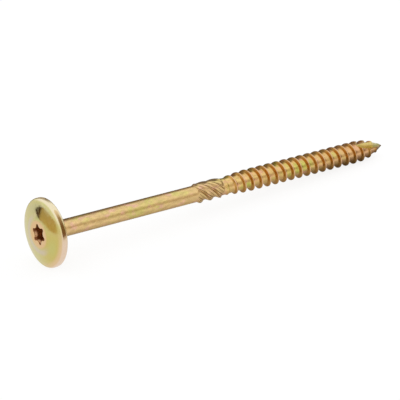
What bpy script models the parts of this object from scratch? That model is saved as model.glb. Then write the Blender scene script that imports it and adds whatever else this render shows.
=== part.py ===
"""A wide-headed construction screw for timber, cold formed and rolled from one wire.

The screw is modelled upright on its own axis. Local z runs from the bearing face under
the head (z = 0) to the point (z = LENGTH), so the domed side of the head is below zero.
Angles are turned about that axis from local +X, which faces the floor once the screw is
laid down. Lengths are in metres.
"""

from math import atan2, ceil, cos, pi, radians, sin, sqrt

import bmesh
import bpy
from mathutils import Euler, Matrix, Vector

# Overall: bearing face to point
LENGTH = 0.140

# Head: a wide flange under a shallow dome, which meets the rim at the rim's own height
HEAD_DIAMETER = 0.0232
RIM_HEIGHT = 0.00186
DOME_RADIUS = 0.0305
RIM_FRONT_ROUND = 0.0006
RIM_BACK_ROUND = 0.0005

# Six-lobe drive recess, with a shallow dish round its mouth
DISH_DIAMETER = 0.0084
DISH_DEPTH = 0.00012
DISH_SLOPE_WIDTH = 0.0006
RECESS_ACROSS_LOBES = 0.00675
RECESS_ACROSS_FLUTES = 0.00485
RECESS_LOBE_ROUND = 0.0006
RECESS_DEPTH = 0.0038
RECESS_FLOOR_CHAMFER = 0.0005
RECESS_LOBES = 6
RECESS_TURN = radians(40)

# Neck cone under the head, then the plain shank
NECK_DIAMETER = 0.0076
NECK_LENGTH = 0.0032
NECK_FILLET = 0.0007
SHANK_DIAMETER = 0.0057

# Friction ribs, which open the hole for the shank
RIB_START = 0.0578
RIB_LENGTH = 0.0111
RIB_LEAD = 0.0208
RIB_COUNT = 5
RIB_CREST_DIAMETER = 0.0069
RIB_VALLEY_DIAMETER = 0.0054
RIB_RISE = 0.46
RIB_FLAT = 0.04
RIB_FALL = 0.34
RIB_FADE = 0.0008
RIB_TURN = radians(-30)
COLLAR_LENGTH = 0.0003

# Single-start right-hand thread
THREAD_DIAMETER = 0.0077
THREAD_ROOT_DIAMETER = 0.0053
THREAD_PITCH = 0.00346
THREAD_CREST_WIDTH = 0.00036
THREAD_FLANK_RUN = 0.00042
THREAD_FILLET_RUN = 0.00034
THREAD_FILLET_SHARE = 0.14
THREAD_LEAD_IN = 0.0120
THREAD_TURN = radians(148)

# Point: the core and the crests come in along curves of their own lengths
POINT_CORE_LENGTH = 0.0105
POINT_CREST_LENGTH = 0.0135
POINT_FULLNESS = 2.4

# Cut point: a milling wheel has left a flat wall through the axis and a hollow floor
CUT_WHEEL_RADIUS = 0.0185
CUT_FROM_POINT = 0.0035
CUT_FLOOR_HEIGHT = 0.0004
CUT_TURN = radians(174)

# Facets
SIDES = 30
WHEEL_SIDES = 120
DOME_STEPS = 8
ROUND_STEPS = 4
LOBE_STEPS = 4
FLUTE_STEPS = 4
RIB_RINGS = 15
MERGE = 0.000002
END_SNAP = 0.00015
OVERCUT = 0.001
SHARP_ANGLE = radians(32)

# Yellow zinc passivation on steel
FINISH_COLOUR = (0.62, 0.45, 0.20, 1.0)
FINISH_ROUGHNESS = 0.32
FINISH_METALLIC = 1.0


def facet_radius(radius):
    """Corner radius of the polygon whose flats touch a circle of this radius."""
    return radius / cos(pi / SIDES)


def corner_angle(index):
    """Angle of a corner, half a facet on, so that one flat faces the floor."""
    return (index + 0.5) * 2 * pi / SIDES


def at_angle(radius, angle, z):
    return Vector((radius * cos(angle), radius * sin(angle), z))


def arc(centre, radius, start, end, steps):
    """Points on an arc of a flat outline, both ends included."""
    points = []
    for step in range(steps + 1):
        angle = start + (end - start) * step / steps
        points.append((centre[0] + radius * cos(angle), centre[1] + radius * sin(angle)))
    return points


def ease(share):
    """Smooth step from 0 to 1."""
    share = min(max(share, 0.0), 1.0)
    return share * share * (3 - 2 * share)


def dome_angle(radius):
    """Angle on the dome's arc at a distance from the axis."""
    return atan2(-sqrt(DOME_RADIUS**2 - radius**2), radius)


def dome_centre():
    return (0.0, sqrt(DOME_RADIUS**2 - (HEAD_DIAMETER / 2) ** 2) - RIM_HEIGHT)


def mouth_height():
    """Height of the dish floor, where the recess opens."""
    edge = DISH_DIAMETER / 2
    return dome_centre()[1] - sqrt(DOME_RADIUS**2 - edge**2) + DISH_DEPTH


def head_profile():
    """Half section of head, neck and shank, from the middle of the dome to the ribs."""
    head_radius = HEAD_DIAMETER / 2
    neck_radius = NECK_DIAMETER / 2
    shank_radius = SHANK_DIAMETER / 2
    dish_radius = DISH_DIAMETER / 2

    # The front round touches the dome inside and the rim outside
    front_r = head_radius - RIM_FRONT_ROUND
    drop = sqrt((DOME_RADIUS - RIM_FRONT_ROUND) ** 2 - front_r**2)
    front = (front_r, dome_centre()[1] - drop)
    touch = atan2(-drop, front_r)

    points = [(0.0, mouth_height()), (dish_radius - DISH_SLOPE_WIDTH, mouth_height())]
    points += arc(dome_centre(), DOME_RADIUS, dome_angle(dish_radius), touch, DOME_STEPS)
    points += arc(front, RIM_FRONT_ROUND, touch, 0.0, ROUND_STEPS)[1:]
    back = (head_radius - RIM_BACK_ROUND, -RIM_BACK_ROUND)
    points += arc(back, RIM_BACK_ROUND, 0.0, pi / 2, ROUND_STEPS)

    # Fillet from the bearing face into the neck cone
    slope = atan2(neck_radius - shank_radius, NECK_LENGTH)
    fillet = (neck_radius + NECK_FILLET, NECK_FILLET)
    points += arc(fillet, NECK_FILLET, -pi / 2, -pi - slope, ROUND_STEPS)
    points.append((shank_radius, NECK_LENGTH))
    points.append((shank_radius, RIB_START))
    return points


def turn_profile(mesh, points):
    """Spin the half section into the head and the shank."""
    start = corner_angle(0)
    line = [mesh.verts.new(at_angle(facet_radius(r), start, z)) for r, z in points]
    edges = [mesh.edges.new(pair) for pair in zip(line, line[1:])]
    bmesh.ops.spin(
        mesh,
        geom=line + edges,
        axis=(0, 0, 1),
        angle=2 * pi,
        steps=SIDES,
        use_merge=True,
    )
    bmesh.ops.remove_doubles(mesh, verts=mesh.verts[:], dist=MERGE)


def open_edges(mesh, z):
    """Edges of the open end of the surface at this height."""
    return [
        edge
        for edge in mesh.edges
        if edge.is_boundary and all(abs(v.co.z - z) < MERGE for v in edge.verts)
    ]


def rib_radius(angle, z):
    """Ribs that rise towards the point, run flat and fall, sunk at both ends."""
    valley = RIB_VALLEY_DIAMETER / 2
    crest = RIB_CREST_DIAMETER / 2
    shank = SHANK_DIAMETER / 2
    along = (z - RIB_START) / RIB_LEAD - (angle - RIB_TURN) / (2 * pi)
    phase = along * RIB_COUNT % 1.0
    span = RIB_RISE + RIB_FLAT + RIB_FALL
    height = min(ease(phase / RIB_RISE), ease((span - phase) / RIB_FALL))
    from_end = min(z - RIB_START, RIB_START + RIB_LENGTH - z)
    ribbed = valley + (crest - valley) * height
    return shank + (ribbed - shank) * ease(from_end / RIB_FADE)


def add_ribs(mesh):
    """Halve the facets of the shank's end, screw it along the lead and raise the ribs."""
    bmesh.ops.subdivide_edges(mesh, edges=open_edges(mesh, RIB_START), cuts=1)
    ring = open_edges(mesh, RIB_START)
    corners = list({vert for edge in ring for vert in edge.verts})
    bmesh.ops.spin(
        mesh,
        geom=corners + ring,
        axis=(0, 0, 1),
        dvec=(0, 0, RIB_LENGTH / RIB_RINGS),
        angle=2 * pi * RIB_LENGTH / RIB_LEAD,
        steps=RIB_RINGS,
    )
    for vert in mesh.verts:
        if vert.co.z > RIB_START + MERGE:
            angle = atan2(vert.co.y, vert.co.x)
            vert.co = at_angle(rib_radius(angle, vert.co.z), angle, vert.co.z)


def taper(from_point, length):
    """Share of the full radius at a distance from the point, rounded like an ogive."""
    return 1 - max(1 - from_point / length, 0.0) ** POINT_FULLNESS


def thread_section():
    """One pitch of thread as (distance from the crest's middle, share of its height)."""
    crest = THREAD_CREST_WIDTH / 2
    foot = crest + THREAD_FLANK_RUN
    root = foot + THREAD_FILLET_RUN
    side = [(crest, 1.0), (foot, THREAD_FILLET_SHARE), (root, 0.0)]
    head_side = [(-along, share) for along, share in reversed(side)]
    return head_side + side + [(THREAD_PITCH - root, 0.0)]


def thread_start():
    return RIB_START + RIB_LENGTH + COLLAR_LENGTH


def thread_point(angle, z, share):
    """A point of the thread, pressed flat on the collar or drawn into the point."""
    start = thread_start()
    if z < start + END_SNAP:
        return at_angle(facet_radius(SHANK_DIAMETER / 2), angle, start)
    from_point = LENGTH - z
    if from_point < END_SNAP:
        return Vector((0.0, 0.0, LENGTH))
    root = THREAD_ROOT_DIAMETER / 2
    lead_in = min((z - start) / THREAD_LEAD_IN, 1.0)
    rise = lead_in * (2 - lead_in)
    core = SHANK_DIAMETER / 2 + (root - SHANK_DIAMETER / 2) * rise
    core *= taper(from_point, POINT_CORE_LENGTH)
    crest = THREAD_DIAMETER / 2 * taper(from_point, POINT_CREST_LENGTH)
    radius = core + (crest - core) * share * rise
    return at_angle(facet_radius(radius), angle, z)


def add_thread(mesh):
    """Wrap the thread's section round the core, column by column.

    The sheet starts a turn early and ends a turn late. What passes the collar or the
    point lies on them and is merged, which closes both ends.
    """
    first = thread_start() - THREAD_PITCH * (2 + THREAD_TURN / (2 * pi))
    turns = ceil((LENGTH - first) / THREAD_PITCH) + 1
    section = thread_section()
    column = None
    for index in range(turns * SIDES + 1):
        angle = corner_angle(index)
        crest_z = first + THREAD_PITCH * angle / (2 * pi)
        following = [
            mesh.verts.new(thread_point(angle, crest_z + along, share))
            for along, share in section
        ]
        if column:
            for step in range(len(section) - 1):
                corners = (column[step], following[step], following[step + 1], column[step + 1])
                mesh.faces.new(corners)
        column = following
    bmesh.ops.remove_doubles(mesh, verts=mesh.verts[:], dist=MERGE)


def join_collar(mesh):
    """Bridge the end of the ribs to the first ring of the thread."""
    rings = open_edges(mesh, RIB_START + RIB_LENGTH) + open_edges(mesh, thread_start())
    bmesh.ops.bridge_loops(mesh, edges=rings)


def build_body():
    mesh = bmesh.new()
    turn_profile(mesh, head_profile())
    add_ribs(mesh)
    add_thread(mesh)
    join_collar(mesh)
    bmesh.ops.recalc_face_normals(mesh, faces=mesh.faces[:])
    return mesh


def lobed_outline():
    """Six-lobe outline of round lobes joined by tangent round flutes."""
    half_step = pi / RECESS_LOBES
    lobe_r = RECESS_ACROSS_LOBES / 2 - RECESS_LOBE_ROUND
    inside = RECESS_ACROSS_FLUTES / 2 - RECESS_LOBE_ROUND
    flute_r = (lobe_r**2 - inside**2) / (2 * (lobe_r * cos(half_step) - inside))
    flute_round = flute_r - RECESS_ACROSS_FLUTES / 2
    lobe = (lobe_r, 0.0)
    flute = (flute_r * cos(half_step), flute_r * sin(half_step))
    lean = atan2(flute[1] - lobe[1], flute[0] - lobe[0])
    back = pi + half_step
    lobe_arc = arc(lobe, RECESS_LOBE_ROUND, -lean, lean, LOBE_STEPS)
    flute_arc = arc(flute, flute_round, lean + pi, 2 * back - lean - pi, FLUTE_STEPS)
    outline = []
    for lobe_index in range(RECESS_LOBES):
        turn = Matrix.Rotation(RECESS_TURN + lobe_index * 2 * half_step, 2)
        outline += [turn @ Vector(point) for point in lobe_arc + flute_arc[1:-1]]
    return outline


def build_recess_cutter():
    """Punch with the recess outline and a chamfered nose."""
    mesh = bmesh.new()
    top = dome_centre()[1] - DOME_RADIUS - OVERCUT
    floor = mouth_height() + RECESS_DEPTH
    outline = [mesh.verts.new((point.x, point.y, top)) for point in lobed_outline()]
    face = mesh.faces.new(outline)
    moved = bmesh.ops.extrude_face_region(mesh, geom=[face])["geom"]
    nose = [item for item in moved if isinstance(item, bmesh.types.BMVert)]
    bmesh.ops.translate(mesh, verts=nose, vec=(0, 0, floor - top))
    rim = [e for e in mesh.edges if all(abs(v.co.z - floor) < MERGE for v in e.verts)]
    bmesh.ops.bevel(
        mesh,
        geom=rim,
        offset=RECESS_FLOOR_CHAMFER,
        offset_type="OFFSET",
        segments=1,
        profile=0.5,
        affect="EDGES",
    )
    bmesh.ops.recalc_face_normals(mesh, faces=mesh.faces[:])
    return mesh


def build_point_cutter():
    """Wheel whose flat side passes through the axis and whose rim cuts the floor."""
    mesh = bmesh.new()
    width = THREAD_DIAMETER
    bmesh.ops.create_cone(
        mesh,
        cap_ends=True,
        segments=WHEEL_SIDES,
        radius1=CUT_WHEEL_RADIUS,
        radius2=CUT_WHEEL_RADIUS,
        depth=width,
    )
    centre = Vector((CUT_WHEEL_RADIUS + CUT_FLOOR_HEIGHT, width / 2, LENGTH - CUT_FROM_POINT))
    upright = Matrix.Rotation(pi / 2, 4, "X")
    seat = Matrix.Rotation(CUT_TURN, 4, "Z") @ Matrix.Translation(centre) @ upright
    bmesh.ops.transform(mesh, matrix=seat, verts=mesh.verts[:])
    return mesh


def make_object(name, mesh):
    data = bpy.data.meshes.new(name)
    mesh.to_mesh(data)
    made = bpy.data.objects.new(name, data)
    bpy.context.collection.objects.link(made)
    return made


def make_finish():
    finish = bpy.data.materials.new("yellow_passivated_steel")
    finish.use_nodes = True
    shader = finish.node_tree.nodes["Principled BSDF"]
    shader.inputs["Base Color"].default_value = FINISH_COLOUR
    shader.inputs["Roughness"].default_value = FINISH_ROUGHNESS
    shader.inputs["Metallic"].default_value = FINISH_METALLIC
    return finish


def cut_away(screw, name, cutter_mesh):
    cutter = make_object(name, cutter_mesh)
    cutter.parent = screw
    cutter.hide_render = True
    cutter.display_type = "WIRE"
    cut = screw.modifiers.new(name, "BOOLEAN")
    cut.operation = "DIFFERENCE"
    cut.solver = "EXACT"
    cut.object = cutter


def lie_down(screw, corners):
    """Lay the screw on the floor, resting on its rim and on the crests near the point."""
    rim_z = -RIM_BACK_ROUND
    rim_reach = HEAD_DIAMETER / 2
    threaded = [c for c in corners if c.z > thread_start()]
    lean = min(atan2(rim_reach - c.x, c.z - rim_z) for c in threaded)
    turn = Euler((0.0, pi / 2 + lean, 0.0))
    lying = [turn.to_matrix() @ corner for corner in corners]
    middle = (min(c.x for c in lying) + max(c.x for c in lying)) / 2
    screw.rotation_euler = turn
    screw.location = (-middle, 0.0, -min(c.z for c in lying))


def main():
    for old in list(bpy.data.objects):
        bpy.data.objects.remove(old, do_unlink=True)
    body = build_body()
    corners = [vert.co.copy() for vert in body.verts]
    screw = make_object("construction_screw", body)
    screw.data.materials.append(make_finish())
    screw.data.shade_smooth()
    screw.data.set_sharp_from_angle(angle=SHARP_ANGLE)
    cut_away(screw, "recess_cutter", build_recess_cutter())
    cut_away(screw, "point_cutter", build_point_cutter())
    lie_down(screw, corners)


main()
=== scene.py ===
from math import atan2, cos, hypot, pi, radians, sin, sqrt

import bmesh
import bpy
from mathutils import Matrix, Vector


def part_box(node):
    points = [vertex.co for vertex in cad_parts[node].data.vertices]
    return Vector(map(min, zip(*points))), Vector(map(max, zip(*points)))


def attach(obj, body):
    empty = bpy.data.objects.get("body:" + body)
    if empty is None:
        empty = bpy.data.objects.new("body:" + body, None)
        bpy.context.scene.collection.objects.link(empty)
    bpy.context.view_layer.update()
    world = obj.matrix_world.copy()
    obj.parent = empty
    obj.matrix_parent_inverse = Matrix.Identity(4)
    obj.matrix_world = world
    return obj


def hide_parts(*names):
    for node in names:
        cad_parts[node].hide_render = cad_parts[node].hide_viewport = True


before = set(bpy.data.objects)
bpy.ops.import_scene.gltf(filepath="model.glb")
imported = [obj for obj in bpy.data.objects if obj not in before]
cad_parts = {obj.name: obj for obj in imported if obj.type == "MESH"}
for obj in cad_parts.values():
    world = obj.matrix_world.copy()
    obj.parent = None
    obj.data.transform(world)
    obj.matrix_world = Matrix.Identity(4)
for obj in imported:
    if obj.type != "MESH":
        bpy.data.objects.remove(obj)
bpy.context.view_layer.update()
mm = 0.001
print("frame loaded")


# How the screw lies: its own z runs from the bearing face to the point
lie = {
    "node": "construction_screw",
    "length": 140 * mm,
    "rimRadius": 11.6 * mm,
    "rimContact": 0.5 * mm,      # from the bearing face to where the rim touches the floor
    "lean": radians(3.4615),     # the head props the screw up, so it dips to its point
}


def screwPlacement():
    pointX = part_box(lie["node"])[1].x
    originX = pointX - lie["length"] * cos(lie["lean"])
    originZ = lie["rimRadius"] * cos(lie["lean"]) - lie["rimContact"] * sin(lie["lean"])
    turn = Matrix.Rotation(pi / 2 + lie["lean"], 4, "Y")
    return Matrix.Translation((originX, 0.0, originZ)) @ turn


placement = screwPlacement()


# Camera, at the photo's viewing angle
shot = {
    "target": (-1.4 * mm, 8.1 * mm, 0.0),   # where the view's middle meets the floor
    "distance": 850.3 * mm,
    "heading": radians(53.75),              # turned from +X
    "dip": radians(26.74),
    "lens": 225,
    "clip": (0.01, 20),
}


def addCamera():
    view = Vector((
        cos(shot["dip"]) * cos(shot["heading"]),
        cos(shot["dip"]) * sin(shot["heading"]),
        -sin(shot["dip"]),
    ))
    data = bpy.data.cameras.new("photoCamera")
    data.lens = shot["lens"]
    data.clip_start, data.clip_end = shot["clip"]
    camera = bpy.data.objects.new("photoCamera", data)
    bpy.context.scene.collection.objects.link(camera)
    camera.location = Vector(shot["target"]) - view * shot["distance"]
    camera.rotation_euler = view.to_track_quat("-Z", "Y").to_euler()
    bpy.context.scene.camera = camera


addCamera()
print("camera placed")


# Shapes that the pieces share
columns = 120                # sides of every turned surface
weld = 0.002 * mm
sharpFrom = radians(34)      # faces that meet at more than this show an edge
sortedAlong = Vector((1.0, 3.7, 91.3))      # a direction in which no two faces are level


def arcPoints(centre, radius, start, end, steps):
    turns = [start + (end - start) * step / steps for step in range(steps + 1)]
    return [(centre[0] + radius * cos(t), centre[1] + radius * sin(t)) for t in turns]


def smoothStep(share):
    share = min(max(share, 0.0), 1.0)
    return share * share * (3 - 2 * share)


def spinAround(mesh, line, angle, steps, rise=0.0, closed=False):
    verts = [mesh.verts.new((r, 0.0, z)) for r, z in line]
    edges = [mesh.edges.new(pair) for pair in zip(verts, verts[1:])]
    bmesh.ops.spin(
        mesh,
        geom=verts + edges,
        cent=(0, 0, 0),
        axis=(0, 0, 1),
        dvec=(0, 0, rise),
        angle=angle,
        steps=steps,
        use_merge=closed,
    )


def openRing(mesh, z):
    return [
        edge
        for edge in mesh.edges
        if edge.is_boundary and all(abs(v.co.z - z) < weld for v in edge.verts)
    ]


# Head: a wide flange under a shallow dome, with the lobed recess in a dish
head = {
    "radius": lie["rimRadius"],
    "rimHeight": 1.86 * mm,
    "domeRadius": 30.5 * mm,
    "frontRound": 1.0 * mm,
    "backRound": 0.5 * mm,
    "dishRadius": 4.2 * mm,
    "dishDepth": 0.12 * mm,
    "dishSlope": 0.6 * mm,
    "neckRadius": 3.8 * mm,
    "neckLength": 3.2 * mm,
    "neckFillet": 0.7 * mm,
    "domeSteps": 26,
    "roundSteps": 8,
}

recess = {
    "lobes": 6,
    "overLobes": 3.375 * mm,
    "overFlutes": 2.425 * mm,
    "lobeRound": 0.6 * mm,
    "depth": 3.8 * mm,
    "chamfer": 0.5 * mm,
    "turn": radians(40),
    "mouthRound": 0.14 * mm,
    "mouthSteps": 3,
    "lobeSteps": 12,
    "fluteSteps": 8,
}

shank = {"radius": 2.85 * mm}

ribs = {
    "start": 57.8 * mm,
    "length": 11.1 * mm,
    "lead": 20.8 * mm,
    "count": 5,
    "crest": 3.45 * mm,
    "valley": 2.7 * mm,
    "rise": 0.46,                     # shares of the way from one rib to the next
    "flat": 0.04,
    "fall": 0.34,
    "fade": 0.8 * mm,
    "turn": radians(-30),
    "rings": 90,
    "lines": (0.24, 0.70),            # where the fine rolled lines lie, as such shares
    "lineWidth": 0.04,
    "lineDepth": 0.10 * mm,
}

thread = {
    "gap": 0.3 * mm,                  # collar between the ribs and the thread
    "crest": 3.85 * mm,
    "root": 2.65 * mm,
    "pitch": 3.46 * mm,
    "crestHalf": 0.18 * mm,
    "crestRound": 0.07 * mm,
    "crestDrop": 0.35,                # how far the crest's round comes down, as a share of it
    "flankRun": 0.42 * mm,
    "flank": ((0.1, 0.93), (0.5, 0.56), (0.85, 0.24)),    # points as shares of its run and height
    "filletRun": 0.34 * mm,
    "filletShare": 0.14,              # of the thread's height
    "filletMiddle": (0.35, 0.4),      # a point as shares of its own run and height
    "spareTurns": 2,                  # laid past each end, where they close up
    "leadIn": 12.0 * mm,
    "turn": radians(148),
    "coreTaper": 10.5 * mm,
    "crestTaper": 13.5 * mm,
    "fullness": 2.4,
    "snap": 0.15 * mm,
}

cut = {
    "wheelRadius": 18.5 * mm,
    "fromPoint": 3.5 * mm,
    "floorHeight": 0.4 * mm,
    "turn": radians(174),
    "wheelSides": 240,
}


def domeCentre():
    return (0.0, sqrt(head["domeRadius"] ** 2 - head["radius"] ** 2) - head["rimHeight"])


def mouthZ():
    drop = sqrt(head["domeRadius"] ** 2 - head["dishRadius"] ** 2)
    return domeCentre()[1] - drop + head["dishDepth"]


# Half the head's section, from the dish out over the dome, round the rim and in to the shank
def headLine():
    centre = domeCentre()
    frontR = head["radius"] - head["frontRound"]
    frontDrop = sqrt((head["domeRadius"] - head["frontRound"]) ** 2 - frontR**2)
    touch = atan2(-frontDrop, frontR)
    dishDrop = sqrt(head["domeRadius"] ** 2 - head["dishRadius"] ** 2)
    dishEdge = atan2(-dishDrop, head["dishRadius"])
    line = [(head["dishRadius"] - head["dishSlope"], mouthZ())]
    line += arcPoints(centre, head["domeRadius"], dishEdge, touch, head["domeSteps"])
    front = (frontR, centre[1] - frontDrop)
    line += arcPoints(front, head["frontRound"], touch, 0.0, head["roundSteps"])[1:]
    back = (head["radius"] - head["backRound"], -head["backRound"])
    line += arcPoints(back, head["backRound"], 0.0, pi / 2, head["roundSteps"])
    slope = atan2(head["neckRadius"] - shank["radius"], head["neckLength"])
    fillet = (head["neckRadius"] + head["neckFillet"], head["neckFillet"])
    line += arcPoints(fillet, head["neckFillet"], -pi / 2, -pi - slope, head["roundSteps"])
    line += [(shank["radius"], head["neckLength"]), (shank["radius"], ribs["start"])]
    return line


# Lobes and flutes as arcs that meet smoothly, so a flute's size follows from the lobes
def recessOutline():
    halfStep = pi / recess["lobes"]
    lobeR = recess["overLobes"] - recess["lobeRound"]
    inside = recess["overFlutes"] - recess["lobeRound"]
    fluteR = (lobeR**2 - inside**2) / (2 * (lobeR * cos(halfStep) - inside))
    flute = (fluteR * cos(halfStep), fluteR * sin(halfStep))
    lean = atan2(flute[1], flute[0] - lobeR)
    lobeArc = arcPoints((lobeR, 0.0), recess["lobeRound"], -lean, lean, recess["lobeSteps"])
    fluteRound = fluteR - recess["overFlutes"]
    fluteEnd = pi + 2 * halfStep - lean
    fluteArc = arcPoints(flute, fluteRound, pi + lean, fluteEnd, recess["fluteSteps"])
    points = []
    for lobe in range(recess["lobes"]):
        turn = Matrix.Rotation(recess["turn"] + lobe * 2 * halfStep, 2)
        points += [turn @ Vector(p) for p in lobeArc + fluteArc[1:-1]]
    return points


def recessFloorZ():
    return mouthZ() + recess["depth"]


# The outline's size and height down the recess: the rounded mouth, the walls and the floor's chamfer
def recessSteps():
    rounded = recess["mouthRound"]
    steps = []
    for step in range(recess["mouthSteps"] + 1):
        turn = pi / 2 * step / recess["mouthSteps"]
        size = 1 + rounded * (1 - sin(turn)) / recess["overLobes"]
        steps.append((size, mouthZ() + rounded * (1 - cos(turn))))
    steps.append((1.0, recessFloorZ() - recess["chamfer"]))
    steps.append((1 - recess["chamfer"] / recess["overLobes"], recessFloorZ()))
    return steps


def punchRecess(mesh):
    dishRing = openRing(mesh, mouthZ())
    steps = recessSteps()
    size = steps[0][0]
    loop = [mesh.verts.new((p.x * size, p.y * size, mouthZ())) for p in recessOutline()]
    edges = [mesh.edges.new(pair) for pair in zip(loop, loop[1:] + loop[:1])]
    bmesh.ops.triangle_fill(mesh, use_beauty=True, edges=dishRing + edges, normal=(0, 0, -1))
    for nextSize, z in steps[1:]:
        moved = bmesh.ops.extrude_edge_only(mesh, edges=edges)["geom"]
        verts = [item for item in moved if isinstance(item, bmesh.types.BMVert)]
        edges = [item for item in moved if isinstance(item, bmesh.types.BMEdge)]
        bmesh.ops.scale(mesh, verts=verts, vec=(nextSize / size, nextSize / size, 1.0))
        bmesh.ops.translate(mesh, verts=verts, vec=(0, 0, z - verts[0].co.z))
        size = nextSize
    bmesh.ops.triangle_fill(mesh, use_beauty=True, edges=edges, normal=(0, 0, -1))


# Across each rib the radius rises, stays and falls, and along the screw the ribs fade at both ends
def ribRadius(angle, z):
    along = (z - ribs["start"]) / ribs["lead"] - (angle - ribs["turn"]) / (2 * pi)
    phase = along * ribs["count"] % 1.0
    span = ribs["rise"] + ribs["flat"] + ribs["fall"]
    height = min(smoothStep(phase / ribs["rise"]), smoothStep((span - phase) / ribs["fall"]))
    ribbed = ribs["valley"] + (ribs["crest"] - ribs["valley"]) * height
    for line in ribs["lines"]:
        away = abs(phase - line) / ribs["lineWidth"]
        ribbed -= ribs["lineDepth"] * max(1 - away, 0.0)
    fromEnd = min(z - ribs["start"], ribs["start"] + ribs["length"] - z)
    return shank["radius"] + (ribbed - shank["radius"]) * smoothStep(fromEnd / ribs["fade"])


def rollRibs(mesh):
    bmesh.ops.subdivide_edges(mesh, edges=openRing(mesh, ribs["start"]), cuts=1)
    ring = openRing(mesh, ribs["start"])
    corners = list(dict.fromkeys(vert for edge in ring for vert in edge.verts))
    bmesh.ops.spin(
        mesh,
        geom=corners + ring,
        cent=(0, 0, 0),
        axis=(0, 0, 1),
        dvec=(0, 0, ribs["length"] / ribs["rings"]),
        angle=2 * pi * ribs["length"] / ribs["lead"],
        steps=ribs["rings"],
        use_merge=False,
    )
    for vert in mesh.verts:
        if vert.co.z > ribs["start"] - weld:
            angle = atan2(vert.co.y, vert.co.x)
            radius = ribRadius(angle, vert.co.z)
            vert.co.x, vert.co.y = radius * cos(angle), radius * sin(angle)


def threadStart():
    return ribs["start"] + ribs["length"] + thread["gap"]


# One pitch of the thread in section: the crest, its flanks and fillets, and the root
def threadLine():
    half = thread["crestHalf"]
    foot = half + thread["flankRun"]
    root = foot + thread["filletRun"]
    height = thread["crest"] - thread["root"]
    edge = thread["crestRound"]
    side = [(half - edge, 1.0), (half, 1.0 - thread["crestDrop"] * edge / height)]
    side += [(half + run * thread["flankRun"], share) for run, share in thread["flank"]]
    run, share = thread["filletMiddle"]
    side.append((foot, thread["filletShare"]))
    side.append((foot + run * thread["filletRun"], share * thread["filletShare"]))
    side.append((root, 0.0))
    profile = [(-along, share) for along, share in reversed(side)] + side
    profile += [(thread["pitch"] / 2, 0.0), (thread["pitch"] - root, 0.0)]
    return [(thread["root"] + height * share, along) for along, share in profile]


# The share of its full radius that the core or the crest has at this distance from the point
def drawIn(fromPoint, length):
    return 1 - max(1 - fromPoint / length, 0.0) ** thread["fullness"]


def shapeThread(vert):
    start = threadStart()
    angle = atan2(vert.co.y, vert.co.x)
    share = (hypot(vert.co.x, vert.co.y) - thread["root"]) / (thread["crest"] - thread["root"])
    z = vert.co.z
    fromPoint = lie["length"] - z
    if fromPoint < thread["snap"]:
        vert.co = Vector((0.0, 0.0, lie["length"]))
        return
    if z < start + thread["snap"]:
        z = start
    leadIn = min((z - start) / thread["leadIn"], 1.0)
    rise = leadIn * (2 - leadIn)
    core = shank["radius"] + (thread["root"] - shank["radius"]) * rise
    core *= drawIn(fromPoint, thread["coreTaper"])
    crest = thread["crest"] * drawIn(fromPoint, thread["crestTaper"])
    radius = core + (crest - core) * share * rise
    vert.co = Vector((radius * cos(angle), radius * sin(angle), z))


def rollThread():
    mesh = bmesh.new()
    spinAround(mesh, threadLine(), 2 * pi, columns, thread["pitch"] / columns)
    oneTurn = mesh.verts[:] + mesh.edges[:] + mesh.faces[:]
    turns = int((lie["length"] - threadStart()) / thread["pitch"]) + 2 * thread["spareTurns"]
    for turn in range(1, turns):
        copied = bmesh.ops.duplicate(mesh, geom=oneTurn)["geom"]
        verts = [item for item in copied if isinstance(item, bmesh.types.BMVert)]
        bmesh.ops.translate(mesh, verts=verts, vec=(0, 0, turn * thread["pitch"]))
    lift = threadStart() - thread["pitch"] * (thread["spareTurns"] + thread["turn"] / (2 * pi))
    bmesh.ops.translate(mesh, verts=mesh.verts[:], vec=(0, 0, lift))
    bmesh.ops.remove_doubles(mesh, verts=mesh.verts[:], dist=weld)
    for vert in mesh.verts:
        shapeThread(vert)
    bmesh.ops.remove_doubles(mesh, verts=mesh.verts[:], dist=weld)
    return mesh


def addObject(name, mesh):
    data = bpy.data.meshes.new(name)
    mesh.to_mesh(data)
    mesh.free()
    made = bpy.data.objects.new(name, data)
    bpy.context.scene.collection.objects.link(made)
    return made


def buildBlank():
    mesh = bmesh.new()
    spinAround(mesh, headLine(), 2 * pi, columns, closed=True)
    bmesh.ops.remove_doubles(mesh, verts=mesh.verts[:], dist=weld)
    punchRecess(mesh)
    rollRibs(mesh)
    rolled = rollThread()
    part = bpy.data.meshes.new("rolledThread")
    rolled.to_mesh(part)
    rolled.free()
    mesh.from_mesh(part)
    bpy.data.meshes.remove(part)
    rings = openRing(mesh, ribs["start"] + ribs["length"]) + openRing(mesh, threadStart())
    bmesh.ops.bridge_loops(mesh, edges=rings)
    bmesh.ops.recalc_face_normals(mesh, faces=mesh.faces[:])
    # Spin gives its faces in another order each run, and the triangles of the cut would follow it
    mesh.faces.sort(key=lambda face: face.calc_center_median().dot(sortedAlong))
    return addObject("screwBlank", mesh)


# The cut at the point is what a milling wheel leaves: a flat wall and a hollow floor
def buildWheel():
    mesh = bmesh.new()
    width = 2 * thread["crest"]
    bmesh.ops.create_cone(
        mesh,
        cap_ends=True,
        segments=cut["wheelSides"],
        radius1=cut["wheelRadius"],
        radius2=cut["wheelRadius"],
        depth=width,
    )
    centre = (cut["wheelRadius"] + cut["floorHeight"], width / 2, lie["length"] - cut["fromPoint"])
    seat = Matrix.Rotation(cut["turn"], 4, "Z") @ Matrix.Translation(centre)
    bmesh.ops.transform(mesh, matrix=seat @ Matrix.Rotation(pi / 2, 4, "X"), verts=mesh.verts[:])
    return addObject("millingWheel", mesh)


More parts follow.
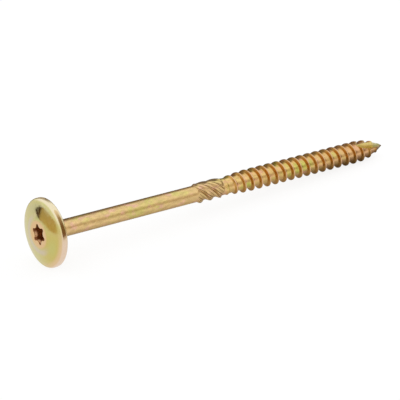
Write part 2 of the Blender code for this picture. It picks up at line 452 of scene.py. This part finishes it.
def millPoint(blank, wheel):
    milling = blank.modifiers.new("milling", "BOOLEAN")
    milling.operation = "DIFFERENCE"
    milling.solver = "EXACT"
    milling.object = wheel
    shapes = bpy.context.evaluated_depsgraph_get()
    cutMesh = bpy.data.meshes.new_from_object(blank.evaluated_get(shapes))
    mesh = bmesh.new()
    mesh.from_mesh(cutMesh)
    bmesh.ops.remove_doubles(mesh, verts=mesh.verts[:], dist=weld)
    bmesh.ops.dissolve_degenerate(mesh, dist=weld, edges=mesh.edges[:])
    mesh.to_mesh(cutMesh)
    mesh.free()
    blank.modifiers.clear()
    blank.data = cutMesh
    bpy.data.objects.remove(wheel)


# Node helpers for the finishes
def addNode(tree, kind, **settings):
    node = tree.nodes.new("ShaderNode" + kind)
    for name, value in settings.items():
        setattr(node, name, value)
    return node


def feed(tree, socket, value):
    if isinstance(value, bpy.types.NodeSocket):
        tree.links.new(value, socket)
    else:
        socket.default_value = value


def calc(tree, operation, first, second=0.0):
    node = addNode(tree, "Math", operation=operation)
    for socket, value in zip(node.inputs, (first, second)):
        feed(tree, socket, value)
    return node.outputs[0]


def ramp(tree, value, low, high, start=0.0, end=1.0):
    node = addNode(tree, "MapRange", interpolation_type="SMOOTHSTEP")
    for name, item in zip(("Value", "From Min", "From Max", "To Min", "To Max"),
                          (value, low, high, start, end)):
        feed(tree, node.inputs[name], item)
    return node.outputs[0]


def band(tree, value, middle, half, soft):
    away = calc(tree, "ABSOLUTE", calc(tree, "SUBTRACT", value, middle))
    return ramp(tree, away, half - soft, half + soft, 1.0, 0.0)


def tint(tree, factor, under, over, blend="MIX"):
    node = addNode(tree, "Mix", data_type="RGBA", blend_type=blend)
    feed(tree, node.inputs[0], factor)
    feed(tree, node.inputs[6], under)
    feed(tree, node.inputs[7], over)
    return node.outputs[2]


def noise(tree, vector, scale, detail, stretch):
    mapping = addNode(tree, "Mapping")
    feed(tree, mapping.inputs["Vector"], vector)
    mapping.inputs["Scale"].default_value = stretch
    node = addNode(tree, "TexNoise")
    tree.links.new(mapping.outputs[0], node.inputs["Vector"])
    node.inputs["Scale"].default_value = scale
    node.inputs["Detail"].default_value = detail
    return node.outputs["Fac"]


def newGroup(name, inputs, outputs):
    group = bpy.data.node_groups.new(name, "ShaderNodeTree")
    for label, kind in inputs:
        group.interface.new_socket(label, in_out="INPUT", socket_type="NodeSocket" + kind)
    for label, kind in outputs:
        group.interface.new_socket(label, in_out="OUTPUT", socket_type="NodeSocket" + kind)
    start = group.nodes.new("NodeGroupInput")
    end = group.nodes.new("NodeGroupOutput")
    return group, start.outputs, end.inputs


def placeGroup(tree, group, **values):
    node = tree.nodes.new("ShaderNodeGroup")
    node.node_tree = group
    for name, value in values.items():
        feed(tree, node.inputs[name], value)
    return dict(node.outputs.items())


def rgb(red, green, blue):
    return (red, green, blue, 1.0)


# Where a point lies on the screw, in millimetres from the bearing face and the axis. Turn is 0 at
# the side that it lies on, and SideTurn starts a quarter earlier, for marks that lie across that
def screwSpaceGroup():
    group, start, end = newGroup(
        "screwSpace",
        [("Position", "Vector")],
        [("Local", "Vector"), ("Along", "Float"), ("Radius", "Float"), ("Turn", "Float"),
         ("SideTurn", "Float")],
    )
    lay = addNode(group, "Mapping", vector_type="TEXTURE")
    lay.inputs["Location"].default_value = placement.translation
    lay.inputs["Rotation"].default_value = placement.to_euler()
    group.links.new(start["Position"], lay.inputs["Vector"])
    scaled = addNode(group, "VectorMath", operation="SCALE")
    scaled.inputs["Scale"].default_value = 1 / mm
    group.links.new(lay.outputs[0], scaled.inputs[0])
    split = addNode(group, "SeparateXYZ")
    group.links.new(scaled.outputs[0], split.inputs[0])
    flat = addNode(group, "VectorMath", operation="MULTIPLY")
    group.links.new(scaled.outputs[0], flat.inputs[0])
    flat.inputs[1].default_value = (1, 1, 0)
    size = addNode(group, "VectorMath", operation="LENGTH")
    group.links.new(flat.outputs[0], size.inputs[0])
    turn = calc(group, "ARCTAN2", split.outputs["Y"], split.outputs["X"])
    turn = calc(group, "FRACT", calc(group, "DIVIDE", turn, 2 * pi))
    sideTurn = calc(group, "FRACT", calc(group, "ADD", turn, 0.25))
    group.links.new(scaled.outputs[0], end["Local"])
    group.links.new(split.outputs["Z"], end["Along"])
    group.links.new(size.outputs["Value"], end["Radius"])
    group.links.new(turn, end["Turn"])
    group.links.new(sideTurn, end["SideTurn"])
    return group


# Interference colours of the passivation: gold with drifting green and pink patches. A noise is
# its scale for each millimetre, its detail and its stretch, and limits are what ramp() takes
patina = {
    "greenNoise": (0.22, 2.0, (1, 1, 0.7)),
    "greenLimits": (0.48, 0.66),
    "pinkNoise": (0.31, 2.0, (1.3, 1.3, 0.8)),
    "pinkLimits": (0.52, 0.68),
    "shadeNoise": (1.3, 4.0, (1, 1, 0.45)),
    "shadeLimits": (0.25, 0.75, -0.5, 0.5),
    "heightNoise": (2.2, 5.0, (1, 1, 0.25)),
    "roughNoise": (0.9, 3.0, (1, 1, 1)),
    "roughLimits": (0.3, 0.7, -0.05, 0.05),
}


def passivationGroup():
    group, start, end = newGroup(
        "passivationTints",
        [("Local", "Vector"), ("Base", "Color"), ("Green", "Color"), ("Pink", "Color"),
         ("Drift", "Float"), ("Mottle", "Float")],
        [("Color", "Color"), ("Height", "Float"), ("Roughness", "Float")],
    )
    local = start["Local"]
    greenPatch = ramp(group, noise(group, local, *patina["greenNoise"]), *patina["greenLimits"])
    pinkPatch = ramp(group, noise(group, local, *patina["pinkNoise"]), *patina["pinkLimits"])
    greenPatch = calc(group, "MULTIPLY", greenPatch, start["Drift"])
    pinkPatch = calc(group, "MULTIPLY", pinkPatch, start["Drift"])
    colour = tint(group, greenPatch, start["Base"], start["Green"])
    colour = tint(group, pinkPatch, colour, start["Pink"])
    shade = ramp(group, noise(group, local, *patina["shadeNoise"]), *patina["shadeLimits"])
    shade = calc(group, "ADD", calc(group, "MULTIPLY", shade, start["Mottle"]), 1.0)
    grey = addNode(group, "CombineColor")
    for socket in grey.inputs:
        group.links.new(shade, socket)
    colour = tint(group, 1.0, colour, grey.outputs[0], "MULTIPLY")
    roughness = ramp(group, noise(group, local, *patina["roughNoise"]), *patina["roughLimits"])
    group.links.new(colour, end["Color"])
    group.links.new(noise(group, local, *patina["heightNoise"]), end["Height"])
    group.links.new(roughness, end["Roughness"])
    return group


screwSpace = screwSpaceGroup()
passivation = passivationGroup()


def startFinish(name):
    material = bpy.data.materials.new(name)
    material.use_nodes = True
    tree = material.node_tree
    coordinates = addNode(tree, "TexCoord")
    place = placeGroup(tree, screwSpace, Position=coordinates.outputs["Object"])
    return material, tree, place


# Marks are laid over the finish in turn, each where its bands and its ramps all reach. A band is
# what it runs on, its middle, half its width and its softness. A ramp is what it runs on, where it
# starts and ends, and the mask at each, which is 0 and 1 where it isn't given
def maskOf(tree, place, mark):
    mask = 1.0
    for name, *limits in mark.get("bands", []):
        mask = calc(tree, "MULTIPLY", band(tree, place[name], *limits), mask)
    for name, *limits in mark.get("ramps", []):
        mask = calc(tree, "MULTIPLY", ramp(tree, place[name], *limits), mask)
    return mask


def layMarks(tree, shader, place, colour, look):
    for mark in look["marks"].values():
        mask = maskOf(tree, place, mark)
        if "metallic" in mark:
            metallic = ramp(tree, mask, 0.0, 1.0, look["metallic"], mark["metallic"])
            feed(tree, shader.inputs["Metallic"], metallic)
        strength = calc(tree, "MULTIPLY", mask, mark.get("strength", 1.0))
        colour = tint(tree, strength, colour, mark["colour"])
    return colour


def endFinish(material, place, look):
    tree = material.node_tree
    shader = tree.nodes["Principled BSDF"]
    shader.inputs["Metallic"].default_value = look["metallic"]
    tints = placeGroup(
        tree, passivation, Local=place["Local"], Base=look["base"], Green=look["green"],
        Pink=look["pink"], Drift=look["drift"], Mottle=look["mottle"],
    )
    colour = layMarks(tree, shader, place, tints["Color"], look)
    roughness = calc(tree, "ADD", tints["Roughness"], look["roughness"])
    feed(tree, shader.inputs["Base Color"], colour)
    feed(tree, shader.inputs["Roughness"], roughness)
    bump = addNode(tree, "Bump")
    bump.inputs["Strength"].default_value = look["bump"]
    bump.inputs["Distance"].default_value = look["bumpDepth"]
    tree.links.new(tints["Height"], bump.inputs["Height"])
    tree.links.new(bump.outputs[0], shader.inputs["Normal"])
    return material


headLook = {
    "base": rgb(0.66, 0.60, 0.26),
    "green": rgb(0.60, 0.63, 0.24),
    "pink": rgb(0.70, 0.58, 0.34),
    "metallic": 1.0,
    "drift": 0.6,
    "mottle": 0.05,
    "roughness": 0.13,
    "bump": 0.04,
    "bumpDepth": 0.05 * mm,
    "marks": {
        "strawSide": {
            "colour": rgb(0.65, 0.54, 0.17),
            "bands": [("Turn", 0.80, 0.14, 0.10)],
        },
        # Painted reflection: the head's own shadow on the floor, as the face would mirror it, tinted
        # lilac
        "lilacReflectedShade": {
            "colour": rgb(0.66, 0.57, 0.44),
            "bands": [("Radius", 6.0, 0.9, 0.7), ("SideTurn", 0.38, 0.26, 0.08)],
            "strength": 0.85,
        },
        "leafPatch": {
            "colour": rgb(0.56, 0.64, 0.26),
            "bands": [("Radius", 7.5, 1.5, 1.2), ("Turn", 0.80, 0.06, 0.05)],
            "strength": 0.35,
        },
        "orangePatch": {
            "colour": rgb(0.82, 0.58, 0.36),
            "bands": [("Radius", 10.9, 1.0, 0.8), ("Turn", 0.83, 0.12, 0.08)],
            "strength": 0.85,
        },
        # Painted highlight: a near-white cream band along the top of the rim
        "paintedCreamHighlight": {
            "colour": rgb(0.94, 0.82, 0.62),
            "bands": [("Radius", 11.3, 0.5, 0.3), ("Turn", 0.54, 0.10, 0.04)],
            "strength": 0.75,
        },
        "roseEdge": {
            "colour": rgb(0.84, 0.66, 0.52),
            "bands": [("Radius", 11.7, 0.6, 0.3), ("Turn", 0.82, 0.12, 0.05)],
        },
        # Painted shade with a sage tint, darkening the face below the top of the rim
        "sageShadePatch": {
            "colour": rgb(0.60, 0.56, 0.30),
            "bands": [("Radius", 8.6, 1.5, 0.7), ("Turn", 0.48, 0.12, 0.07)],
            "strength": 0.8,
        },
        "dishRing": {
            "colour": rgb(0.80, 0.55, 0.30),
            "bands": [("Radius", 3.5, 1.1, 0.5)],
        },
    },
}


def makeHeadFinish():
    material, tree, place = startFinish("headPassivationAndPaintedLight")
    return endFinish(material, place, headLook)


recessLook = {
    # The dark base is painted shade in the recess, under the passivation tints
    "base": rgb(0.40, 0.17, 0.05),
    "green": rgb(0.34, 0.18, 0.04),
    "pink": rgb(0.46, 0.15, 0.08),
    "metallic": 0.8,
    "drift": 0.5,
    "mottle": 0.4,
    "roughness": 0.34,
    "bump": 0.1,
    "bumpDepth": 0.05 * mm,
    "marks": {
        # Painted light: walls lighter and less metallic near the mouth, on one side
        "paintedMouthLight": {
            "colour": rgb(1.0, 0.62, 0.34),
            "bands": [("SideTurn", 0.31, 0.20, 0.05)],
            "ramps": [
                ("Depth", 0.1, 0.3),
                ("Depth", 0.6, 1.5, 1.0, 0.0),
                ("Radius", 2.7, 3.2, 1.0, 0.4),
            ],
            "metallic": 0.1,
        },
    },
}


def makeRecessFinish():
    material, tree, place = startFinish("recessPassivationAndPaintedShade")
    place["Depth"] = calc(tree, "SUBTRACT", place["Along"], mouthZ() / mm)
    return endFinish(material, place, recessLook)


shankLook = {
    "base": rgb(0.76, 0.54, 0.25),
    "green": rgb(0.68, 0.58, 0.20),
    "pink": rgb(0.82, 0.51, 0.34),
    "metallic": 1.0,
    "drift": 1.0,
    "mottle": 0.26,
    "roughness": 0.27,
    "bump": 0.12,
    "bumpDepth": 0.06 * mm,
    "marks": {},
}


def makeShankFinish():
    material, tree, place = startFinish("shankPassivation")
    return endFinish(material, place, shankLook)


# Phase runs from 0 to 1 across each rib or turn of the thread
def helixPhase(tree, place, start, lead, count, turn):
    along = calc(tree, "DIVIDE", calc(tree, "SUBTRACT", place["Along"], start / mm), lead / mm)
    phase = calc(tree, "SUBTRACT", along, place["Turn"])
    phase = calc(tree, "MULTIPLY", calc(tree, "ADD", phase, turn / (2 * pi)), count)
    return calc(tree, "FRACT", phase)


ribsEnd = (ribs["start"] + ribs["length"]) / mm
onRibs = ("Along", (ribs["start"] + ribs["length"] / 2) / mm, 5.2, 0.5)
# Noise that varies how dark the painted shade in the rolled lines is
ribShadeVariation = ("ShadeVariation", 0.35, 0.6, 0.25, 0.8)
ribDark = rgb(0.20, 0.10, 0.03)

ribLook = {
    "base": rgb(0.76, 0.54, 0.25),
    "green": rgb(0.66, 0.57, 0.20),
    "pink": rgb(0.82, 0.51, 0.34),
    "metallic": 1.0,
    "drift": 0.8,
    "mottle": 0.3,
    "roughness": 0.26,
    "bump": 0.12,
    "bumpDepth": 0.06 * mm,
    "shadeVariationNoise": (0.5, 3.0, (1, 1, 1)),
    "marks": {
        # Painted shade: dark rolled lines, a dark edge past each crest and dark valleys between the
        # ribs
        "lowerLine": {
            "colour": ribDark,
            "bands": [("Phase", ribs["lines"][0], 0.025, 0.015), onRibs],
            "ramps": [ribShadeVariation],
        },
        "upperLine": {
            "colour": ribDark,
            "bands": [("Phase", ribs["lines"][1], 0.025, 0.015), onRibs],
            "ramps": [ribShadeVariation],
        },
        "crestShadeEdge": {
            "colour": ribDark,
            "bands": [("Phase", 0.54, 0.045, 0.035), onRibs],
            "strength": 0.9,
        },
        "valley": {
            "colour": ribDark,
            "bands": [("Phase", 0.90, 0.06, 0.035), onRibs],
            "strength": 0.9,
        },
        # Painted reflection: a near-black stripe on the rib tops along the upper side
        "cap": {
            "colour": rgb(0.09, 0.04, 0.01),
            "bands": [("Phase", 0.33, 0.21, 0.06), ("Turn", 0.455, 0.06, 0.02), onRibs],
            "metallic": 0.5,
            "strength": 0.85,
        },
        "nick": {
            "colour": ribDark,
            "bands": [("Along", ribsEnd - 0.3, 0.3, 0.15), ("Turn", 0.60, 0.05, 0.03)],
            "strength": 0.8,
        },
    },
}


def makeRibFinish():
    material, tree, place = startFinish("ribPassivationAndPaintedShade")
    place["Phase"] = helixPhase(tree, place, ribs["start"], ribs["lead"], ribs["count"], ribs["turn"])
    place["ShadeVariation"] = noise(tree, place["Local"], *ribLook["shadeVariationNoise"])
    return endFinish(material, place, ribLook)


threadFoot = threadStart() / mm
pointEnd = lie["length"] / mm
risen = ("Along", threadFoot + 1.0, threadFoot + 4.0)

threadLook = {
    "base": rgb(0.78, 0.54, 0.21),
    "green": rgb(0.62, 0.59, 0.14),
    "pink": rgb(0.84, 0.47, 0.28),
    "metallic": 1.0,
    "drift": 1.0,
    "mottle": 0.3,
    "roughness": 0.24,
    "bump": 0.15,
    "bumpDepth": 0.06 * mm,
    "marks": {
        "salmonToPoint": {
            "colour": rgb(0.80, 0.46, 0.26),
            "ramps": [("Along", pointEnd - 36, pointEnd - 6, 0.0, 0.8)],
        },
        # Painted shade: the flanks beside each crest darker over about half the way round
        "flank": {
            "colour": rgb(0.62, 0.34, 0.09),
            "bands": [("Phase", 0.5, 0.20, 0.05), ("Turn", 0.735, 0.27, 0.06)],
            "ramps": [risen],
        },
        "crest": {
            "colour": rgb(0.82, 0.53, 0.35),
            "bands": [("Phase", 0.5, 0.04, 0.02)],
            "ramps": [risen],
        },
        # Painted shade: the thread darker along its lower side, more so towards the point
        "undersideShade": {
            "colour": rgb(0.28, 0.18, 0.06),
            "bands": [("Phase", 0.5, 0.16, 0.08), ("Turn", 0.91, 0.07, 0.06)],
            "ramps": [("Along", threadFoot + 8.8, pointEnd - 10, 0.3, 0.9)],
        },
        "tip": {
            "colour": rgb(0.84, 0.74, 0.50),
            "ramps": [("Along", pointEnd - 3.6, pointEnd - 2.2)],
        },
    },
}


def makeThreadFinish():
    material, tree, place = startFinish("threadPassivationAndPaintedShade")
    crestTurn = thread["turn"] + pi     # so that the phase is 0.5 on the crest
    place["Phase"] = helixPhase(tree, place, threadStart(), thread["pitch"], 1, crestTurn)
    return endFinish(material, place, threadLook)


cutLook = {
    "base": rgb(0.88, 0.74, 0.28),
    "green": rgb(0.80, 0.73, 0.28),
    "pink": rgb(0.92, 0.72, 0.36),
    "metallic": 1.0,
    "drift": 0.5,
    "mottle": 0.04,
    "roughness": 0.32,
    "bump": 0.08,
    "bumpDepth": 0.05 * mm,
    "marks": {
        "paleEnd": {
            "colour": rgb(0.70, 0.68, 0.42),
            "ramps": [("Along", pointEnd - 5, pointEnd - 3)],
        },
        "tanEdge": {
            "colour": rgb(0.78, 0.45, 0.20),
            "ramps": [("Turn", 0.58, 0.64), ("Radius", 0.8, 1.3)],
        },
        "tooth": {
            "colour": rgb(0.50, 0.34, 0.18),
            "bands": [("Turn", 0.40, 0.12, 0.03)],
            "ramps": [("Radius", 2.3, 2.7)],
        },
    },
}


def makeCutFinish():
    material, tree, place = startFinish("cutPassivation")
    return endFinish(material, place, cutLook)


finishes = {
    "head": makeHeadFinish(),
    "recess": makeRecessFinish(),
    "shank": makeShankFinish(),
    "ribs": makeRibFinish(),
    "thread": makeThreadFinish(),
    "cut": makeCutFinish(),
}
zones = list(finishes)
print("finishes made")


def zoneAt(point):
    fromAxis = hypot(point.x, point.y)
    inRecess = mouthZ() + weld < point.z < recessFloorZ() + weld
    if inRecess and fromAxis < recess["overLobes"] + recess["mouthRound"]:
        return "recess"
    if point.z < -weld:
        return "head"
    if point.z < ribs["start"]:
        return "shank"
    if point.z < threadStart():
        return "ribs"
    return "thread"


blank = buildBlank()
wheel = buildWheel()
for piece in (blank, wheel):
    for finish in finishes.values():
        piece.data.materials.append(finish)
for face in blank.data.polygons:
    face.material_index = zones.index(zoneAt(face.center))
for face in wheel.data.polygons:
    face.material_index = zones.index("cut")
print("blank built", len(blank.data.polygons), "faces")
millPoint(blank, wheel)
print("point milled", len(blank.data.polygons), "faces")
blank.data.transform(placement)
blank.name = "screwBody"
blank.data.shade_smooth()
blank.data.set_sharp_from_angle(angle=sharpFrom)
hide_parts(lie["node"])
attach(blank, "root")


# Floor and studio
studio = {
    "worldStrength": 1.0,
    "floorReach": 3,
    "floorGrey": 0.17,
    "floorGlow": 0.85,
    # The floor as only the metal shows it, with painted shadow near the screw, behind it and at its
    # point, and where each colour comes in, in millimetres
    "floorSeen": rgb(0.88, 0.86, 0.82),
    "floorShadowNear": rgb(0.50, 0.44, 0.36),
    "floorShadowBehind": rgb(0.28, 0.22, 0.14),
    "floorShadowAtPoint": rgb(0.14, 0.10, 0.06),
    "nearOnX": (-64, -52),
    "nearOnY": (-15, 1),
    "behindOnY": (-1, 9),
    "atPointOnX": (20, 60),
}


def floorShade(tree):
    place = addNode(tree, "TexCoord")
    split = addNode(tree, "SeparateXYZ")
    tree.links.new(place.outputs["Object"], split.inputs[0])
    masks = {}
    for name, axis in (("nearOnX", "X"), ("nearOnY", "Y"), ("behindOnY", "Y"), ("atPointOnX", "X")):
        start, end = studio[name]
        masks[name] = ramp(tree, split.outputs[axis], start * mm, end * mm)
    # Painted shadow on the floor, which only the metal's reflections show
    shade = tint(tree, masks["behindOnY"], studio["floorShadowNear"], studio["floorShadowBehind"])
    shade = tint(tree, masks["atPointOnX"], shade, studio["floorShadowAtPoint"])
    near = calc(tree, "MULTIPLY", masks["nearOnY"], masks["nearOnX"])
    return tint(tree, near, studio["floorSeen"], shade)


def addFloor():
    mesh = bmesh.new()
    bmesh.ops.create_grid(mesh, x_segments=1, y_segments=1, size=studio["floorReach"])
    floor = addObject("floor", mesh)
    material = bpy.data.materials.new("paleFloor")
    material.use_nodes = True
    tree = material.node_tree
    tree.nodes.clear()
    out = addNode(tree, "OutputMaterial")
    both = addNode(tree, "AddShader")
    diffuse = addNode(tree, "BsdfDiffuse")
    glow = addNode(tree, "Emission")
    grey = studio["floorGrey"]
    diffuse.inputs["Color"].default_value = rgb(grey, grey, grey)
    glow.inputs["Strength"].default_value = studio["floorGlow"]
    tree.links.new(diffuse.outputs[0], both.inputs[0])
    tree.links.new(glow.outputs[0], both.inputs[1])
    seen = addNode(tree, "Emission")
    tree.links.new(floorShade(tree), seen.inputs["Color"])
    rays = addNode(tree, "LightPath")
    either = addNode(tree, "MixShader")
    tree.links.new(rays.outputs["Is Glossy Ray"], either.inputs[0])
    tree.links.new(both.outputs[0], either.inputs[1])
    tree.links.new(seen.outputs[0], either.inputs[2])
    tree.links.new(either.outputs[0], out.inputs["Surface"])
    floor.data.materials.append(material)


def addWorld():
    world = bpy.data.worlds.new("studio")
    world.use_nodes = True
    bpy.context.scene.world = world
    back = world.node_tree.nodes["Background"]
    back.inputs["Color"].default_value = rgb(1.0, 1.0, 1.0)
    back.inputs["Strength"].default_value = studio["worldStrength"]


# Walls and cards that only the metal shows, in millimetres. A wall has the middle of its foot, its
# length and height, its heading and its colours going up
walls = [
    {
        "name": "backWall",
        "foot": (-9, 60),
        "size": (118, 110),
        "heading": radians(0),
        "colours": (
            (0.0, rgb(0.10, 0.07, 0.04)),
            (0.30, rgb(0.22, 0.17, 0.12)),
            (0.55, rgb(0.40, 0.35, 0.28)),
            (0.75, rgb(0.72, 0.70, 0.66)),
            (1.0, rgb(1, 1, 1)),
        ),
    },
    {
        "name": "farWall",
        "foot": (100, 60),
        "size": (100, 100),
        "heading": radians(0),
        "colours": (
            (0.0, rgb(0.16, 0.12, 0.07)),
            (0.25, rgb(0.34, 0.28, 0.20)),
            (0.50, rgb(0.60, 0.54, 0.46)),
            (0.80, rgb(1, 1, 1)),
        ),
    },
    {
        "name": "rightWall",
        "foot": (150, -20),
        "size": (160, 80),
        "heading": radians(90),
        "colours": ((0.0, rgb(0.20, 0.14, 0.08)), (0.6, rgb(0.34, 0.28, 0.20)), (1.0, rgb(1, 1, 1))),
    },
    {
        "name": "endWall",
        "foot": (-60, 37),
        "size": (46, 60),
        "heading": radians(90),
        "colours": ((0.0, rgb(0.34, 0.26, 0.16)), (0.5, rgb(0.48, 0.40, 0.30)), (1.0, rgb(1, 1, 1))),
    },
    {
        "name": "frontWall",
        "foot": (55, -150),
        "size": (410, 130),
        "heading": radians(0),
        "colours": (
            (0.0, rgb(0.62, 0.54, 0.45)),
            (0.5, rgb(0.66, 0.59, 0.50)),
            (0.8, rgb(0.78, 0.72, 0.64)),
            (1.0, rgb(1, 1, 1)),
        ),
    },
]

rimCard = {
    "name": "rimCard",
    "radius": 41,
    "reach": (-24, 25.4),      # along X, from the head's front
    "turns": (radians(186), radians(264)),
    "steps": 24,
    "colours": (
        (0.0, rgb(0.22, 0.11, 0.05)),
        (0.55, rgb(0.24, 0.13, 0.06)),
        (0.85, rgb(0.42, 0.28, 0.16)),
        (1.0, rgb(0.90, 0.76, 0.58)),
    ),
}

wedgeCard = {
    "name": "wedgeCard",
    "distance": 60,            # from the head
    "heading": radians(140),
    "outline": (
        (27, 10), (18, 18), (8, 22), (-4, 22), (-14, 21), (-24, 18), (-30, 12), (-33, 6),
        (-33, 0), (-21, 0), (-14, 1), (-5, 4), (3, 5), (10, 5), (17, 6), (23, 8),
    ),
    "colours": (
        (0.0, rgb(0.74, 0.62, 0.40)),
        (0.12, rgb(0.64, 0.45, 0.22)),
        (0.45, rgb(0.64, 0.45, 0.20)),
        (0.70, rgb(0.58, 0.42, 0.20)),
        (0.77, rgb(0.08, 0.04, 0.02)),
        (1.0, rgb(0.06, 0.03, 0.01)),
    ),
}


def cardPaint(name, axis, colours):
    material = bpy.data.materials.new(name)
    material.use_nodes = True
    tree = material.node_tree
    tree.nodes.clear()
    place = addNode(tree, "TexCoord")
    split = addNode(tree, "SeparateXYZ")
    tree.links.new(place.outputs["Generated"], split.inputs[0])
    blend = addNode(tree, "ValToRGB")
    tree.links.new(split.outputs[axis], blend.inputs[0])
    stops = blend.color_ramp.elements
    while len(stops) < len(colours):
        stops.new(0.5)
    for stop, (share, colour) in zip(stops, colours):
        stop.position = share
        stop.color = colour
    glow = addNode(tree, "Emission")
    tree.links.new(blend.outputs[0], glow.inputs["Color"])
    out = addNode(tree, "OutputMaterial")
    tree.links.new(glow.outputs[0], out.inputs["Surface"])
    return material


def standCard(card, mesh, axis):
    made = addObject(card["name"], mesh)
    made.data.materials.append(cardPaint(card["name"], axis, card["colours"]))
    made.visible_camera = False
    made.visible_diffuse = False
    made.visible_shadow = False


def addWall(card):
    mesh = bmesh.new()
    length, height = card["size"]
    x, y = card["foot"]
    bmesh.ops.create_grid(mesh, x_segments=1, y_segments=1, size=0.5)
    bmesh.ops.scale(mesh, vec=(length * mm, height * mm, 1), verts=mesh.verts[:])
    seat = Matrix.Translation((x * mm, y * mm, height * mm / 2))
    seat = seat @ Matrix.Rotation(card["heading"], 4, "Z") @ Matrix.Rotation(pi / 2, 4, "X")
    bmesh.ops.transform(mesh, matrix=seat, verts=mesh.verts[:])
    standCard(card, mesh, "Z")


def addWedge(card):
    mesh = bmesh.new()
    verts = [mesh.verts.new((along * mm, up * mm, 0)) for along, up in card["outline"]]
    edges = [mesh.edges.new(pair) for pair in zip(verts, verts[1:] + verts[:1])]
    bmesh.ops.triangle_fill(mesh, use_beauty=True, edges=edges)
    out = Vector((cos(card["heading"]), sin(card["heading"]), 0))
    foot = Vector((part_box(lie["node"])[0].x, 0, 0)) + out * card["distance"] * mm
    seat = Matrix.Translation(foot) @ Matrix.Rotation(card["heading"] - pi / 2, 4, "Z")
    seat = seat @ Matrix.Rotation(pi / 2, 4, "X")
    bmesh.ops.transform(mesh, matrix=seat, verts=mesh.verts[:])
    standCard(card, mesh, "X")


def addRimCard(card):
    mesh = bmesh.new()
    ends = [mesh.verts.new((along * mm, 0, -card["radius"] * mm)) for along in card["reach"]]
    edge = mesh.edges.new(ends)
    start, end = card["turns"]
    bmesh.ops.rotate(mesh, verts=ends, matrix=Matrix.Rotation(start, 3, "X"))
    bmesh.ops.spin(
        mesh,
        geom=ends + [edge],
        cent=(0, 0, 0),
        axis=(1, 0, 0),
        angle=end - start,
        steps=card["steps"],
    )
    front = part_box(lie["node"])[0].x
    bmesh.ops.translate(mesh, verts=mesh.verts[:], vec=(front, 0, lie["rimRadius"]))
    standCard(card, mesh, "Z")


addFloor()
addWorld()
for wall in walls:
    addWall(wall)
addWedge(wedgeCard)
addRimCard(rimCard)
bpy.context.scene.view_settings.view_transform = "Standard"
print("studio set")
